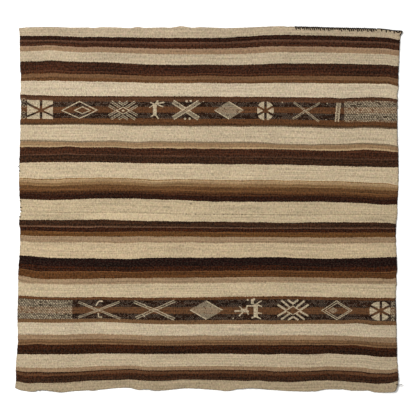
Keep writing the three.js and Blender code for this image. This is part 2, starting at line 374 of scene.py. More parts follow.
lineAt = {name: quickCurve(raggedEdge(longLines, lineColumns, name, hemBumps, "hem"), readOut["along"])
          for name in hemBumps}
seamPlaces = [(row[0], row[lineColumns["seam"]]) for row in longLines]
lineAt["seam"] = quickCurve(smoothCurve(seamPlaces), readOut["along"])
endAt = {name: quickCurve(raggedEdge(loomEnds, endColumns, name, endBumps, "end"), readOut["across"])
         for name in endBumps}
driftLines = sorted(stripeDrift)
driftCurves = [quickCurve(smoothCurve(zip(driftStations, stripeDrift[line])), readOut["along"])
               for line in driftLines]


def driftAt(x, y):
    k = min(max(bisect_right(driftLines, y), 1), len(driftLines) - 1)
    low, high = driftLines[k - 1], driftLines[k]
    share = min(max((y - low) / (high - low), 0), 1)
    drift = driftCurves[k - 1](x) * (1 - share) + driftCurves[k](x) * share
    for waveX, waveY, reachX, reachY, height in stripeWaves:
        offX, offY = abs(x - waveX) / reachX, abs(y - waveY) / reachY
        if offX < 1 and offY < 1:
            drift += height * math.cos(offX * math.pi / 2) ** 2 * math.cos(offY * math.pi / 2) ** 2
    return drift + cloth["wobble"] * clothNoise(x, y, "wobble")


def layPoint(panel, columnShare, rowShare):
    # One point of the cloth's underside, with its distances from the hem, the seam and the loom ends
    up = panel["towardsHem"]
    width = panel["width"]
    distance = rowPlace(rowShare) * width
    fromHem = min(distance, cloth["hemZone"])
    share = (distance - fromHem) / (width - cloth["hemZone"])
    x = (columnShare - 0.5) * cloth["startLength"]
    for step in range(cloth["passes"]):
        setBack = overcast["gap"] * overcastShare(x) if up > 0 else 0
        hem = lineAt[panel["hem"]](x) - up * setBack
        seam = lineAt["seam"](x) + up * cloth["seamGap"] / 2
        y = (hem - up * fromHem) * (1 - share) + seam * share
        left = endAt["left"](y)
        right = endAt["right"](y)
        x = left * (1 - columnShare) + right * columnShare
    z = clothHeight(x, y, width - distance)
    if up > 0 and distance < cloth["hemZone"]:
        z = max(z, overcast["lift"] * overcastShare(x) * hemShare(distance))
    return {"x": x, "y": y, "z": z, "fromHem": distance, "fromSeam": width - distance,
            "fromEnd": min(x - left, right - x), "shares": (columnShare, rowShare)}


panels = {
    "upper_cloth": {"hem": "upperHem", "towardsHem": 1, "width": 786, "replaces": "upper_panel",
                    "flat": (1.605, 0.786)},
    "lower_cloth": {"hem": "lowerHem", "towardsHem": -1, "width": 742, "replaces": "lower_panel",
                    "flat": (1.605, 0.742)},
}


def layPanel(name, panel):
    bpy.ops.mesh.primitive_grid_add(x_subdivisions=cloth["columns"], y_subdivisions=cloth["rows"], size=1)
    piece = bpy.context.object
    piece.name = name
    mesh = piece.data
    mesh.name = name
    spots = []
    for vertex in mesh.vertices:
        rowShare = 0.5 - vertex.co.y if panel["towardsHem"] > 0 else vertex.co.y + 0.5
        spots.append(layPoint(panel, vertex.co.x + 0.5, rowShare))
    mesh.vertices.foreach_set("co", [spot[axis] * mm for spot in spots for axis in ("x", "y", "z")])
    thinEdge = piece.vertex_groups.new(name="thickness")
    thinEdge.add(range(len(spots)), 1, "REPLACE")
    for index, spot in enumerate(spots):
        nearest = min(spot["fromHem"], spot["fromSeam"] + cloth["seamThin"], spot["fromEnd"])
        if nearest < cloth["edgeThinReach"]:
            share = smoothStep(nearest, 0, cloth["edgeThinReach"])
            thinEdge.add([index], cloth["edgeThin"] + (1 - cloth["edgeThin"]) * share, "REPLACE")
    # The cloth's own map holds its place along and across the warp with the stripes drawn straight,
    # and the edge map holds the distances from the loom end and the hem, all in metres.
    order = [loop.vertex_index for loop in mesh.loops]
    mesh.uv_layers[0].name = "clothMap"
    straight = [(spot["x"] * mm, (spot["y"] - driftAt(spot["x"], spot["y"])) * mm) for spot in spots]
    edges = [(spot["fromEnd"] * mm, spot["fromHem"] * mm) for spot in spots]
    fillMap(mesh.uv_layers[0], order, straight)
    fillMap(mesh.uv_layers.new(name="edgeMap"), order, edges)
    fillMap(mesh.uv_layers.new(name="OFBake"), order, [spot["shares"] for spot in spots])
    wall = piece.modifiers.new("clothThickness", "SOLIDIFY")
    wall.thickness = cloth["thick"] * mm
    wall.offset = 1
    wall.vertex_group = thinEdge.name
    wall.use_rim = True
    bpy.ops.object.modifier_apply(modifier=wall.name)
    piece.vertex_groups.clear()
    spreadBakeMap(mesh, len(spots))
    bpy.ops.object.shade_smooth()
    return piece


def fillMap(uvMap, order, places):
    uvMap.data.foreach_set("uv", [number for index in order for number in places[index]])


# On the bake map the face lies in the upper half and the underside in the lower one,
# with the thin walls in the margin round the face.
bakeLayout = {"margin": 0.012, "wall": 0.006, "rim": 0.001, "level": 0.4}


def spreadBakeMap(mesh, count):
    bakeMap = mesh.uv_layers["OFBake"]
    firstIsTop = mesh.vertices[0].co.z > mesh.vertices[count].co.z
    margin, wall, rim = bakeLayout["margin"], bakeLayout["wall"], bakeLayout["rim"]
    for face in mesh.polygons:
        for loopIndex in face.loop_indices:
            u, v = bakeMap.data[loopIndex].uv
            isTop = (mesh.loops[loopIndex].vertex_index < count) == firstIsTop
            along = margin + (1 - 2 * margin) * u
            across = margin / 2 + (0.5 - margin) * v
            if abs(face.normal.z) > bakeLayout["level"]:
                bakeMap.data[loopIndex].uv = (along, across + 0.5 if face.normal.z > 0 else across)
                continue
            across += 0.5
            if not isTop:
                along += wall if u > 1 - rim else -wall if u < rim else 0
                across += wall / 2 if v > 1 - rim else -wall / 2 if v < rim else 0
            bakeMap.data[loopIndex].uv = (along, across)


clothPieces = {name: layPanel(name, panel) for name, panel in panels.items()}
print("cloth laid")


# Yarn: strands through points, made round by a bevelled curve
strandShape = {"steps": 3, "order": 3, "endsYarn": 0.95}


def spinStrands(name, strands, radius, sides):
    curve = bpy.data.curves.new(name, "CURVE")
    curve.dimensions = "3D"
    curve.bevel_depth = radius * mm
    curve.bevel_resolution = sides
    curve.use_fill_caps = True
    curve.resolution_u = strandShape["steps"]
    for strand in strands:
        spline = curve.splines.new("NURBS")
        spline.points.add(len(strand) - 1)
        for point, place in zip(spline.points, strand):
            point.co = (place[0] * mm, place[1] * mm, place[2] * mm, 1)
        spline.use_endpoint_u = True
        spline.order_u = strandShape["order"]
    piece = bpy.data.objects.new(name, curve)
    bpy.context.collection.objects.link(piece)
    bpy.ops.object.select_all(action="DESELECT")
    piece.select_set(True)
    bpy.context.view_layer.objects.active = piece
    bpy.ops.object.convert(target="MESH")
    bpy.ops.object.shade_smooth()
    return bpy.context.object


def surfaceAt(x, fromEdge, panelName, edge):
    # Height of the cloth's underside at this x, this far in from the panel's hem or seam
    panel = panels[panelName]
    up = panel["towardsHem"]
    if edge == "seam":
        y = lineAt["seam"](x) + up * fromEdge
        return y, clothHeight(x, y, fromEdge)
    yarnShare = overcastShare(x) if up > 0 else 0
    y = lineAt[panel["hem"]](x) - up * (fromEdge + overcast["gap"] * yarnShare)
    z = clothHeight(x, y, panel["width"])
    return y, max(z, overcast["lift"] * yarnShare * hemShare(fromEdge))


def overcastStrands():
    dice = random.Random(12)
    strands = []
    yarn, thick = overcast["yarn"], cloth["thick"]
    count = int((overcast["to"] - overcast["from"]) / overcast["pitch"])
    edgeLine = []
    for k in range(count):
        x = overcast["from"] + k * overcast["pitch"] + dice.uniform(-0.8, 0.8)
        reach = dice.uniform(*overcast["reach"])
        slant = overcast["slant"] + dice.uniform(-1.2, 1.2)
        inY, inZ = surfaceAt(x + slant, reach, "upper_cloth", "hem")
        midY, midZ = surfaceAt(x + slant / 2, reach / 2, "upper_cloth", "hem")
        hemY, hemZ = surfaceAt(x, 0, "upper_cloth", "hem")
        strands.append([
            (x + slant + 0.6, inY - 1.0, inZ + thick - 1.2),
            (x + slant, inY, inZ + thick + yarn * 0.75),
            (x + slant / 2, midY, midZ + thick + yarn * 0.95),
            (x, hemY + 0.1, hemZ + thick + yarn * 0.7),
            (x - 0.6, hemY + yarn * 1.05, hemZ + thick * 0.5),
            (x - 1.0, hemY + 0.1, hemZ - yarn * 0.55),
            (x - slant / 2, midY, midZ - yarn * 0.75),
            (x - slant, inY, inZ - yarn * 0.7),
            (x - slant - 0.4, inY - 1.0, inZ + 1.0),
        ])
        edgeLine.append((x - 2, hemY + yarn * 0.9, hemZ + thick * 0.8 + dice.uniform(-0.3, 0.3)))
        edgeLine.append((x + 1.6, hemY - dice.uniform(0.2, 1.8), hemZ + thick + yarn * 0.5))
    strands.append(edgeLine)
    strands.extend(overcastTail(dice))
    # No strand sinks into the floor
    return [[(x, y, max(z, yarn)) for x, y, z in strand] for strand in strands]


def overcastTail(dice):
    # Past the close stitches the yarn lies along the hem, caught down here and there, then turns the corner
    yarn, thick = overcast["yarn"], cloth["thick"]
    line = []
    x = overcast["to"] - 8
    while x < overcast["tailTo"] - 3:
        hemY, hemZ = surfaceAt(x, 0, "upper_cloth", "hem")
        aside, up = dice.uniform(-0.5, 0.3), dice.uniform(-0.2, 0.5)
        line.append((x, hemY + yarn * 0.7 + aside, hemZ + thick * 0.8 + up))
        x += overcast["tailStep"]
    strands = [line + tailCorner]
    for x, reach in tailCatches:
        hemY, hemZ = surfaceAt(x, 0, "upper_cloth", "hem")
        inY, inZ = surfaceAt(x, reach, "upper_cloth", "hem")
        strands.append([
            (x + 3, inY - 1.0, inZ + thick - 1.2), (x + 2.4, inY, inZ + thick + yarn * 0.5),
            (x + 1, hemY + 0.1, hemZ + thick + yarn * 0.7), (x, hemY + yarn, hemZ + thick * 0.5),
            (x - 1, hemY, hemZ - yarn * 0.55), (x - 2, inY, inZ - yarn * 0.6), (x - 2, inY - 1, inZ + 1),
        ])
    return strands + [tailLoop]


def seamStrands():
    strands = []
    pitch, stitch = seamSewing["pitch"], seamSewing["stitch"]
    thick = cloth["thick"]
    x = seamSewing["phase"] - pitch * int((seamSewing["phase"] - seamSewing["first"]) / pitch)
    while x < seamSewing["last"] - stitch:
        strand = []
        for share, rise in stitchArch:
            at = x + share * stitch
            aside = seamSewing["aside"] * (1 - 2 * share)
            side = "upper_cloth" if aside > 0 else "lower_cloth"
            y, z = surfaceAt(at, abs(aside), side, "seam")
            z += thick * seamSewing["seat"] + rise * seamSewing["rise"]
            strand.append((at, y, max(z, seamSewing["yarn"])))
        strands.append(strand)
        x += pitch
    return strands


# Dark ends of weft yarn that peep out at the loom ends: both ends of the loop, and how far it stands out
yarnEnds = [
    (-800, 186, -797, 174, 3.0), (-799, 166, -796, 160, 2.0), (-794, 40, -792, 34, 2.8),
    (-793, 11, -790, 7, 2.4), (-791, -1, -790, -6, 2.0), (-797, -27, -795, -33, 3.4),
]

# The yarn end that sticks out at the lower right corner, in two plies
cornerEnd = [
    [(783, -732, 8.6), (791, -733, 10.0), (800, -735, 9.8), (806, -734, 8.6), (810, -732, 7.6)],
    [(784, -734.5, 8.4), (793, -735.5, 9.6), (803, -733.5, 8.8), (809, -733.6, 7.4)],
]


def looseStrands():
    strands = []
    for x1, y1, x2, y2, out in yarnEnds:
        strands.append([(x1 + 7, y1 - 1, 1.6), (x1 + 3, y1, 3.2), (x1 - out * 0.5, (2 * y1 + y2) / 3, 3.0),
                        (x2 - out * 0.4, (y1 + 2 * y2) / 3, 2.2), (x2 + 2, y2, 2.9), (x2 + 7, y2 + 1, 1.6)])
    return strands + cornerEnd


trims = {
    "overcast_yarn": spinStrands("overcast_yarn", overcastStrands(), overcast["yarn"], 2),
    "seam_stitches": spinStrands("seam_stitches", seamStrands(), seamSewing["yarn"], 1),
    "yarn_ends": spinStrands("yarn_ends", looseStrands(), strandShape["endsYarn"], 2),
}
print("yarn sewn")


# Node helpers
nodeStep = (190, -210)
nodesInRow = 14
groupEnd = (3000, 0)


def plug(tree, socket, value):
    if isinstance(value, bpy.types.NodeSocket):
        tree.links.new(value, socket)
    else:
        socket.default_value = value


def fillNode(tree, node, inputs):
    place = len(tree.nodes)
    node.location = (nodeStep[0] * (place % nodesInRow), nodeStep[1] * (place // nodesInRow))
    for key, value in inputs.items():
        plug(tree, node.inputs[key], value)
    return node


def addNode(tree, kind, inputs, **settings):
    node = tree.nodes.new(kind)
    for name, value in settings.items():
        setattr(node, name, value)
    return fillNode(tree, node, inputs)


def mathNode(tree, operation, *values):
    return addNode(tree, "ShaderNodeMath", dict(enumerate(values)), operation=operation).outputs[0]


def mathKind(operation):
    return lambda tree, *values: mathNode(tree, operation, *values)


plus, minus, times, over = (mathKind(kind) for kind in ("ADD", "SUBTRACT", "MULTIPLY", "DIVIDE"))
timesPlus, absolute, toPower = (mathKind(kind) for kind in ("MULTIPLY_ADD", "ABSOLUTE", "POWER"))
larger, lessThan, moreThan = (mathKind(kind) for kind in ("MAXIMUM", "LESS_THAN", "GREATER_THAN"))


def mixColour(tree, share, first, second, blend="MIX"):
    node = addNode(tree, "ShaderNodeMix", {}, data_type="RGBA", blend_type=blend)
    for index, value in ((0, share), (6, first), (7, second)):
        plug(tree, node.inputs[index], value)
    return node.outputs[2]


def mapRange(tree, value, fromLow, fromHigh, toLow, toHigh, smooth=False):
    node = addNode(tree, "ShaderNodeMapRange", {
        "Value": value, "From Min": fromLow, "From Max": fromHigh, "To Min": toLow, "To Max": toHigh,
    }, interpolation_type="SMOOTHSTEP" if smooth else "LINEAR", clamp=True)
    return node.outputs["Result"]


# Spots of noise on the cloth: size along and across the warp, and detail
clouds = {
    "wander": (16, 40, 1), "dash": (4.6, 13, 1.5), "grain": (2.6, 2.4, 1), "streak": (260, 4.2, 2),
    "combing": (5.5, 9, 1), "clusters": (70, 16, 1), "shaking": (8, 6, 1), "salt": (9, 6, 1),
    "picks": (7, 5, 1), "speck": (7.5, 6, 1.5), "mottle": (46, 30, 2), "weftEnds": (9, 5, 1),
    "tint": (22, 9, 2), "fibres": (8, 5, 2),
}

# How some of them are spread: from low and high to low and high
spans = {
    "clusters": (0.35, 0.65, 0.22, 0.88), "salt": (0.38, 0.62, 0.26, 0.66), "picks": (0.36, 0.60, 0.50, 0.88),
    "fibres": (0.46, 0.66, 0.0, 0.11),
}


def cloudNode(tree, place, name, colour=False):
    sizeX, sizeY, detail = clouds[name]
    point = addNode(tree, "ShaderNodeCombineXYZ", {
        "X": over(tree, place[0], sizeX), "Y": over(tree, place[1], sizeY),
    })
    node = addNode(tree, "ShaderNodeTexNoise", {"Vector": point.outputs[0], "Scale": 1.0, "Detail": detail},
                   noise_dimensions="2D")
    return node.outputs["Color" if colour else "Fac"]


def spread(tree, place, name):
    return mapRange(tree, cloudNode(tree, place, name), *spans[name])


def newGroup(name, inputs, outputs):
    group = bpy.data.node_groups.new(name, "ShaderNodeTree")
    for label, value in inputs.items():
        socket = group.interface.new_socket(label, in_out="INPUT", socket_type="NodeSocketFloat")
        socket.default_value = value
    for label in outputs:
        group.interface.new_socket(label, in_out="OUTPUT", socket_type="NodeSocketFloat")
    start = group.nodes.new("NodeGroupInput")
    finish = group.nodes.new("NodeGroupOutput")
    finish.location = groupEnd
    return group, start.outputs, finish.inputs


def useGroup(tree, group, inputs):
    node = tree.nodes.new("ShaderNodeGroup")
    node.node_tree = group
    return fillNode(tree, node, inputs).outputs


def srgb(red, green, blue):
    def linear(value):
        value /= 255
        return value / 12.92 if value <= 0.04045 else ((value + 0.055) / 1.055) ** 2.4
    return (linear(red), linear(green), linear(blue), 1.0)


def dyed(paint):
    # A colour read in the photograph's light, turned to the wool's own reflectance
    channels = srgb(*paint[:3])[:3]
    return tuple(max(channel * dye["exposure"] - dye["haze"], dye["least"]) for channel in channels) + (1.0,)


dye = {"exposure": 0.80, "haze": 0.004, "least": 0.001}

# Weave: warp yarns side by side, each crossing over the weft in turn
weave = {"warpPitch": 3.3, "weftPitch": 4.2, "swayX": 3.0, "swayY": 2.4, "warpRib": 0.26, "weftRib": 0.24,
         "dashLump": 1.3, "grainLump": 0.8}


def buildWeaveGroup():
    group, given, made = newGroup("warpFacedWeave", {
        "X": 0, "Y": 0, "Warp Pitch": weave["warpPitch"], "Weft Pitch": weave["weftPitch"],
    }, ["Relief", "Streak", "Dash", "Grain"])
    place = (given["X"], given["Y"])
    wander = cloudNode(group, place, "wander")
    across = timesPlus(group, wander, weave["swayY"], given["Y"])
    warpTurn = over(group, across, given["Warp Pitch"])
    warp = mathNode(group, "SINE", times(group, warpTurn, 2 * math.pi))
    along = timesPlus(group, wander, weave["swayX"], given["X"])
    warpCount = mathNode(group, "FLOOR", warpTurn)
    weftTurn = timesPlus(group, warpCount, 0.5, over(group, along, given["Weft Pitch"]))
    weft = mathNode(group, "SINE", times(group, weftTurn, 2 * math.pi))
    ribs = timesPlus(group, weft, weave["weftRib"], times(group, warp, weave["warpRib"]))
    dash = cloudNode(group, place, "dash")
    grain = cloudNode(group, place, "grain")
    lumps = timesPlus(group, dash, weave["dashLump"], times(group, grain, weave["grainLump"]))
    plug(group, made["Relief"], plus(group, ribs, lumps))
    plug(group, made["Streak"], cloudNode(group, place, "streak"))
    plug(group, made["Dash"], dash)
    plug(group, made["Grain"], grain)
    return group


def buildDotsGroup():
    # Staggered dots of contrasting yarn, some of them missing
    group, given, made = newGroup("pebbleDots", {
        "X": 0, "Y": 0, "Pitch X": 6, "Pitch Y": 5, "Size": 0.3, "Share": 0.7,
    }, ["Mask"])
    upward = over(group, given["Y"], given["Pitch Y"])
    row = mathNode(group, "FLOOR", upward)
    shifted = timesPlus(group, row, 0.5, over(group, given["X"], given["Pitch X"]))
    column = mathNode(group, "FLOOR", shifted)
    offX = absolute(group, minus(group, mathNode(group, "FRACT", shifted), 0.5))
    offY = absolute(group, minus(group, mathNode(group, "FRACT", upward), 0.5))
    inside = lessThan(group, larger(group, offX, offY), given["Size"])
    cell = addNode(group, "ShaderNodeCombineXYZ", {"X": column, "Y": row})
    luck = addNode(group, "ShaderNodeTexWhiteNoise", {"Vector": cell.outputs[0]}, noise_dimensions="2D")
    kept = lessThan(group, luck.outputs["Value"], given["Share"])
    plug(group, made["Mask"], times(group, inside, kept))
    return group


def buildStripGroup():
    # A straight strip with square ends; Aside is 0 on its middle line and 0.5 at its edge
    labels = ("X", "Y", "Middle X", "Middle Y", "Turn", "Length", "Width")
    group, given, made = newGroup("strip", dict.fromkeys(labels, 0), ["Mask", "Aside"])
    offX = minus(group, given["X"], given["Middle X"])
    offY = minus(group, given["Y"], given["Middle Y"])
    cosine = mathNode(group, "COSINE", given["Turn"])
    sine = mathNode(group, "SINE", given["Turn"])
    along = timesPlus(group, offY, sine, times(group, offX, cosine))
    along = over(group, absolute(group, along), given["Length"])
    aside = minus(group, times(group, offY, cosine), times(group, offX, sine))
    aside = over(group, absolute(group, aside), given["Width"])
    plug(group, made["Mask"], lessThan(group, larger(group, along, aside), 0.5))
    plug(group, made["Aside"], aside)
    return group


def buildDiamondGroup():
    # Distance measure of a rounded diamond: 0 in its middle, 1 on its edge. Power 1 gives straight sides.
    labels = ("X", "Y", "Middle X", "Middle Y", "Half X", "Half Y", "Power")
    group, given, made = newGroup("diamond", dict.fromkeys(labels, 1), ["Reach"])
    offX = absolute(group, minus(group, given["X"], given["Middle X"]))
    offX = toPower(group, over(group, offX, given["Half X"]), given["Power"])
    offY = absolute(group, minus(group, given["Y"], given["Middle Y"]))
    offY = toPower(group, over(group, offY, given["Half Y"]), given["Power"])
    plug(group, made["Reach"], plus(group, offX, offY))
    return group


weaveGroup = buildWeaveGroup()
dotsGroup = buildDotsGroup()
stripGroup = buildStripGroup()
diamondGroup = buildDiamondGroup()


# Stripe colours as seen in even light. Where a fourth number is given, it is the share of pebble dots.
woolColours = {
    "hemCream": (179, 161, 135), "creamTwo": (183, 166, 139), "creamThree": (197, 180, 153),
    "creamFour": (191, 173, 144), "creamFive": (194, 175, 144), "creamSix": (188, 169, 137),
    "creamSeam": (189, 170, 138), "creamSeven": (192, 171, 138), "creamEight": (193, 174, 142),
    "creamNine": (194, 177, 149), "creamTen": (187, 169, 140), "lowerHemCream": (168, 150, 122),
    "black": (42, 24, 17), "blackBrown": (54, 35, 25), "redDark": (62, 37, 26), "redBlack": (53, 29, 19),
    "midDark": (80, 55, 42), "lightLine": (92, 62, 47), "dimLine": (76, 47, 33), "warmLine": (102, 74, 56),
    "orangeLine": (118, 80, 49), "footBlack": (45, 27, 17), "pinkTan": (145, 117, 90),
    "paleTan": (152, 124, 99), "darkBrown": (56, 33, 24), "warmDark": (61, 35, 23),
    "lightBrown": (112, 82, 57), "brown": (96, 65, 41), "bandBrown": (83, 55, 39),
    "bandEdge": (70, 45, 31), "dotted": (40, 26, 20, 0.38), "bandMid": (90, 59, 38),
    "bandFoot": (92, 60, 37), "footEdge": (72, 50, 32), "footGrey": (96, 79, 61, 0.2),
    "greyLine": (130, 111, 87, 0.35), "tan": (146, 117, 86), "paleLine": (176, 149, 113),
    "fadeLine": (142, 107, 68), "fadeOne": (171, 144, 108), "fadeTwo": (157, 128, 94),
    "fadeThree": (131, 101, 68), "fadeFour": (97, 67, 41), "fadeFive": (91, 60, 36),
    "fadeSix": (67, 41, 26), "orange": (94, 62, 34), "greyTan": (154, 129, 101),
    "greyTanLine": (132, 107, 81), "nearBlack": (32, 20, 16), "deepRed": (50, 27, 18),
    "orangeDark": (87, 55, 31), "lowBandTop": (90, 58, 36), "lowBandMid": (94, 64, 42),
    "lowBandFoot": (112, 82, 55), "lowTan": (148, 121, 93), "mediumBrown": (126, 95, 66),
    "mediumLine": (102, 74, 50), "darkLine": (48, 27, 18), "footBrown": (90, 60, 40),
}

# Stripes from the upper hem down to the seam, and from the seam down to the lower hem: width and colour
upperStripes = [
    (54.7, "hemCream"), (18.1, "black"), (4.3, "lightLine"), (5.0, "midDark"), (18.5, "redDark"),
    (5.5, "paleTan"), (17.0, "pinkTan"), (44.8, "creamTwo"), (7.0, "blackBrown"), (32.3, "darkBrown"),
    (4.4, "dimLine"), (6.4, "warmDark"), (15.0, "lightBrown"), (14.0, "brown"), (59.5, "creamThree"),
    (5.5, "bandEdge"), (16.5, "bandBrown"), (22.0, "dotted"), (24.5, "bandMid"), (25.0, "dotted"),
    (20.0, "bandFoot"), (6.8, "footEdge"), (5.0, "footGrey"), (64.0, "creamFour"), (5.4, "greyLine"),
    (16.6, "tan"), (6.4, "paleLine"), (31.4, "redDark"), (3.5, "midDark"), (31.3, "blackBrown"),
    (64.7, "creamFive"), (3.2, "fadeLine"), (5.0, "fadeOne"), (8.0, "fadeTwo"), (12.7, "fadeThree"),
    (16.6, "fadeFour"), (2.6, "orangeLine"), (7.1, "fadeFive"), (11.3, "fadeSix"), (22.9, "black"),
    (80.0, "creamSix"),
]
lowerStripes = [
    (56.5, "creamSeam"), (24.0, "blackBrown"), (3.4, "warmLine"), (16.2, "deepRed"), (2.6, "orangeLine"),
    (18.4, "orange"), (18.5, "greyTan"), (3.4, "greyTanLine"), (5.5, "greyTan"), (61.2, "creamSeven"),
    (35.2, "nearBlack"), (20.6, "deepRed"), (2.8, "orangeLine"), (24.7, "orangeDark"), (14.5, "greyTan"),
    (3.4, "greyTanLine"), (5.9, "greyTan"), (58.1, "creamEight"), (12.4, "lowBandTop"), (28.8, "dotted"),
    (28.4, "lowBandMid"), (25.0, "dotted"), (16.9, "lowBandFoot"), (47.6, "creamNine"), (21.5, "lowTan"),
    (3.0, "mediumLine"), (7.0, "mediumBrown"), (6.2, "mediumLine"), (6.1, "mediumBrown"),
    (16.4, "redBlack"), (20.9, "footBlack"), (53.4, "creamTen"), (16.3, "lowTan"), (4.2, "darkLine"),
    (11.9, "footBrown"), (10.0, "warmDark"), (19.0, "blackBrown"), (88.0, "lowerHemCream"),
]
rampLimit = 30


def paintStripes(tree, across, top, stripes):
    # Colour ramps one below the other, since one ramp holds 32 stops at most
    colour = share = None
    place = top
    for first in range(0, len(stripes), rampLimit):
        part = stripes[first:first + rampLimit]
        height = sum(width for width, name in part)
        fromTop = mapRange(tree, across, place, place - height, 0, 1)
        ramp = addNode(tree, "ShaderNodeValToRGB", {"Fac": fromTop})
        ramp.color_ramp.interpolation = "CONSTANT"
        done = 0
        for k, (width, name) in enumerate(part):
            paint = woolColours[name]
            stops = ramp.color_ramp.elements
            stop = stops[0] if k == 0 else stops[1] if k == 1 else stops.new(done / height)
            stop.position = done / height
            stop.color = dyed(paint)[:3] + (paint[3] if len(paint) > 3 else 0.0,)
            done += width
        if colour is None:
            colour, share = ramp.outputs["Color"], ramp.outputs["Alpha"]
        else:
            below = lessThan(tree, across, place)
            colour = mixColour(tree, below, colour, ramp.outputs["Color"])
            share = plus(tree, times(tree, share, minus(tree, 1.0, below)),
                             times(tree, ramp.outputs["Alpha"], below))
        place -= height
    return colour, share


# Woven figures, in millimetres from the figure's own middle, which lies at a place along the warp
# and a small offset from the middle of its band. A strip is (x1, y1, x2, y2, width).
def combFigure(at, frameHalf, arms, kind):
    # A rhombus and combs of plain arms on its four sides, or a rhombus with a pale heart and outlined arms
    heart = [(8, 5)] if kind == "outlined" else []
    return {"at": at, "fold": True, kind: arms, "core": 0.29, "rings": [((0, 0), frameHalf, 4.0)],
            "diamonds": heart}


upperFigures = [
    {"at": (-778, 2), "speckled": [(-13, 0, -8, 0, 84)], "softRings": [
        ((0, 35), (11, 10), 3.4), ((1, 13), (10, 9), 3.4), ((-1, -12), (10, 9), 3.4),
        ((0, -34), (11, 10), 3.4)]},
    {"at": (-706, -0.5), "boxes": [(-4, 1, 54, 38.5)],
     "cuts": [(0, -46, 0, 46, 11), (-68, 31, 68, -31, 9), (-68, -31, 68, 31, 9)]},
    {"at": (-545, 0.4), "rings": [((0, 0), (78, 38.5), 4.2), ((12, 0), (37, 17), 3.8)]},
    combFigure((-362, -1.3), (31, 18), [(12, 13, 51, 38, 9.6), (-3, 24, 20, 38, 9.6), (27, 2, 60, 21, 9.6)],
               "outlined"),
    {"at": (-229, 1.5), "strips": [
        (0, 27, 0, -24, 14), (2, 22, 13, 39, 7), (8, 26, 40, 31, 6), (10, 22, 36, 13, 5),
        (-6, 25, -19, 33, 4.6), (-5, 20, -23, 11, 4.6), (3, -21, 16, -38, 5), (-4, -21, -17, -29, 5)]},
    {"at": (-97, 1.7), "crossed": [(-55, 35, 52, -36, 18), (-55, -35, 55, 35, 18)],
     "dots": [(2, 37, 4.8), (19, 38, 4.5), (-5, -37, 4.5), (14, -36, 5), (72, 36, 2.4)]},
    {"at": (82, 1.3), "filled": [(63, 39)]},
    {"at": (235, -1.5), "ovals": [(34, 39)],
     "cuts": [(0, -48, 0, 48, 10), (-48, 27, 48, -27, 9.4), (-48, -27, 48, 27, 9.4)]},
    {"at": (414, -2), "outlined": [(-60, 38, 46, -40, 7.4), (-65, -32, 51, 37, 7.4)], "core": 0.3,
     "dots": [(-108, 38, 2.6), (81, 35, 2.4), (76, -31, 2.4)]},
    {"at": (541, 0), "strips": [(-5, 37, -12, -41, 4.4), (10, 37, 1, -41, 4.4)],
     "speckled": [(2, 37, -6, -41, 12)]},
    {"at": (676, 0.5), "speckled": [(-109, 0, 150, 0, 86)]},
]
lowerFigures = [
    {"at": (-689, 0), "speckled": [(-150, -1.5, 114, -1.5, 83)]},
    {"at": (-456, 2), "outlined": [(-94, 30, 82, -44, 8.6), (-94, -38, 80, 31, 8.6)], "core": 0.26,
     "strips": [(-20, 14, -8, 33, 5), (-8, 33, 8, 33, 5.5), (-11, -18, -8, -38, 5), (-8, -38, 6, -38, 5)]},
    {"at": (-229, 0), "outlined": [(-88, 34, 83, -38, 11.5), (-80, -36, 85, 38, 11.5)], "core": 0.28,
     "strips": [(-44, 24, -34, 12, 3), (-52, -19, -42, -30, 3), (46, -16, 57, -28, 3)]},
    {"at": (-13, -1.5), "filled": [(71, 40)]},
    {"at": (194, -2), "strips": [
        (0, 27, 0, -27, 17), (-14, 24, -14, 45, 11), (2, 24, 25, 37, 5), (4, 24, 27, 15, 5),
        (4, -10, 27, -12, 5), (2, -24, 23, -35, 5.5), (-3, -24, -17, -31, 5.5), (-6, 18, -36, 18, 6),
        (-34, 20, -42, 0, 6),
        (-86, -2, -27, -4, 8), (-60, -1, -34, 0, 15), (-69, 17, -52, 3, 5), (-69, -23, -52, -7, 5),
        (-36, -6, -29, -17, 4.5)],
     "dots": [(-33, 41, 4.2), (-6, 43, 4.2), (-84, -3, 5), (-94, -33, 3)]},
    combFigure((351, -1.5), (35, 20), [(15, 13, 49, 38, 7.4), (-2, 25, 22, 40, 7.4), (30, 3, 65, 23, 7.4)],
               "strips"),
    {"at": (535, -1.5), "rings": [((0, 0), (66, 41), 3.0), ((2, 0), (53, 33), 2.6)],
     "tinted": [((-15, 0), (21, 13))]},
    {"at": (716, -2.5), "ovals": [(44, 38)],
     "cuts": [(3, -46, 3, 46, 11), (-60, 30, 62, -30, 9.6), (-60, -30, 62, 30, 9.6)],
     "speckled": [(46, 0, 64, 0, 80)]},
]


def stripMask(tree, place, strip):
    x1, y1, x2, y2, width = strip
    outputs = useGroup(tree, stripGroup, {
        "X": place[0], "Y": place[1], "Middle X": (x1 + x2) / 2, "Middle Y": (y1 + y2) / 2,
        "Turn": math.atan2(y2 - y1, x2 - x1), "Length": math.hypot(x2 - x1, y2 - y1), "Width": width,
    })
    return outputs["Mask"], outputs["Aside"]


def diamondReach(tree, place, middle, half, power=1.0):
    return useGroup(tree, diamondGroup, {
        "X": place[0], "Y": place[1], "Middle X": middle[0], "Middle Y": middle[1],
        "Half X": half[0], "Half Y": half[1], "Power": power,
    })["Reach"]


def filledMask(tree, place, middle, half, power=1.0):
    return lessThan(tree, diamondReach(tree, place, middle, half, power), 1.0)


def ringMask(tree, place, ring):
    middle, half, line = ring
    reach = diamondReach(tree, place, middle, half)
    thin = line * math.hypot(*half) / (half[0] * half[1])
    off = absolute(tree, minus(tree, reach, 1 - thin / 2))
    return lessThan(tree, off, thin / 2)


def either(tree, first, second):
    return second if first is None else larger(tree, first, second)


def without(tree, first, second):
    return times(tree, first, minus(tree, 1.0, second))


